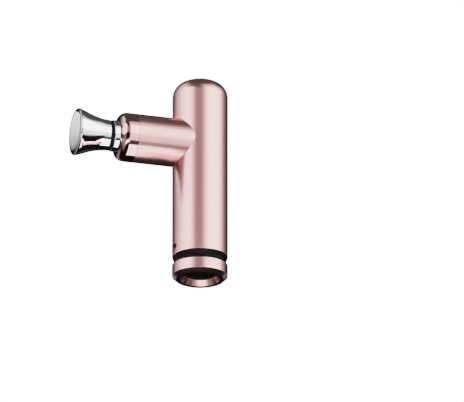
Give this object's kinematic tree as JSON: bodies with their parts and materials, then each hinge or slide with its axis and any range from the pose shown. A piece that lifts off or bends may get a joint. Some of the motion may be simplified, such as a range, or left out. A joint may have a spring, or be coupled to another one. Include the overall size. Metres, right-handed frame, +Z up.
{
  "type": "percussion massager",
  "caption": "Mini percussion massager: domed metal handle tube, side barrel with a reciprocating piston, chromed pull-off trumpet head, and a power button recessed in the dished end cap.",
  "frame": {"origin": "centre of the bounding box's bottom face, level with the end cap's flat lip", "axes": "+Z up along the handle tube, -Y along the barrel towards the massage head, +X to the side"},
  "size_m": [0.036, 0.1028, 0.1371],
  "materials": {
    "rose_anodised": "satin rose-pink anodised",
    "rose_polished": "polished rose-pink anodised",
    "chrome_plate": "mirror chrome plate",
    "gloss_black": "polished black",
    "satin_black": "satin moulded",
    "black_rubber": "matt moulded",
    "cast_alloy": "as cast, machined seats",
    "ground_steel": "ground",
    "dark_steel": "black oxide",
    "copper_wire": "enamelled wire",
    "acetal": "machined",
    "circuit_board": "solder mask",
    "cell_sleeve": "shrink sleeve over a metal can"
  },
  "bodies": {
    "housing": {"handle_tube": "rose_anodised", "barrel_sleeve": "rose_anodised", "nose_ring": "rose_polished", "nose_seal": "black_rubber", "end_cap": "rose_anodised", "trim_ring": "gloss_black", "button_bezel": "gloss_black", "tact_switch": "satin_black", "button_board": "circuit_board", "button_ribbon": "satin_black", "base_plug": "satin_black", "plug_screw_1": "dark_steel", "plug_screw_2": "dark_steel", "control_board": "circuit_board", "charge_port": "ground_steel", "battery_carrier": "satin_black", "battery_cell_1": "cell_sleeve", "battery_cell_2": "cell_sleeve", "battery_cell_3": "cell_sleeve", "motor_lead": "black_rubber", "mechanism_housing": "cast_alloy", "guide_bush": "acetal", "motor_mount": "cast_alloy", "stator_core": "ground_steel", "stator_coils": "copper_wire", "shaft_bearing_1": "ground_steel", "shaft_bearing_2": "ground_steel", "mount_screw_1": "dark_steel", "mount_screw_2": "dark_steel", "mount_screw_3": "dark_steel", "mount_screw_4": "dark_steel"},
    "rotor": {"motor_bell": "dark_steel", "magnet_ring": "dark_steel", "motor_shaft": "ground_steel", "crank_disc": "dark_steel"},
    "plunger": {"piston": "acetal", "piston_collar": "chrome_plate", "wrist_pin": "ground_steel"},
    "rod": {"connecting_rod": "cast_alloy", "crank_bearing": "ground_steel", "crank_pin": "dark_steel"},
    "head": {"massage_head": "chrome_plate", "neck_ring": "black_rubber", "head_spigot": "acetal", "grip_ring": "black_rubber"},
    "button": {"power_button": "satin_black"}
  },
  "joints": [
    {"name": "motor_spin", "type": "hinge", "parent": "housing", "child": "rotor", "pos_m": [0, 0.03345, 0.11], "axis": [0, 0, 1], "continuous": true},
    {"name": "piston_stroke", "type": "slide", "parent": "housing", "child": "plunger", "axis": [0, -1, 0], "range_m": [-0.003, 0.003]},
    {"name": "rod_swing", "type": "hinge", "parent": "plunger", "child": "rod", "pos_m": [0, 0.00964, 0.0928], "axis": [0, 0, 1], "range_deg": [0, 14.36]},
    {"name": "head_pull_off", "type": "slide", "parent": "plunger", "child": "head", "axis": [0, -1, 0], "range_m": [0, 0.018]},
    {"name": "button_press", "type": "slide", "parent": "housing", "child": "button", "axis": [0, 0, 1], "range_m": [0, 0.0005], "stiffness_N_per_m": 2000}
  ]
}
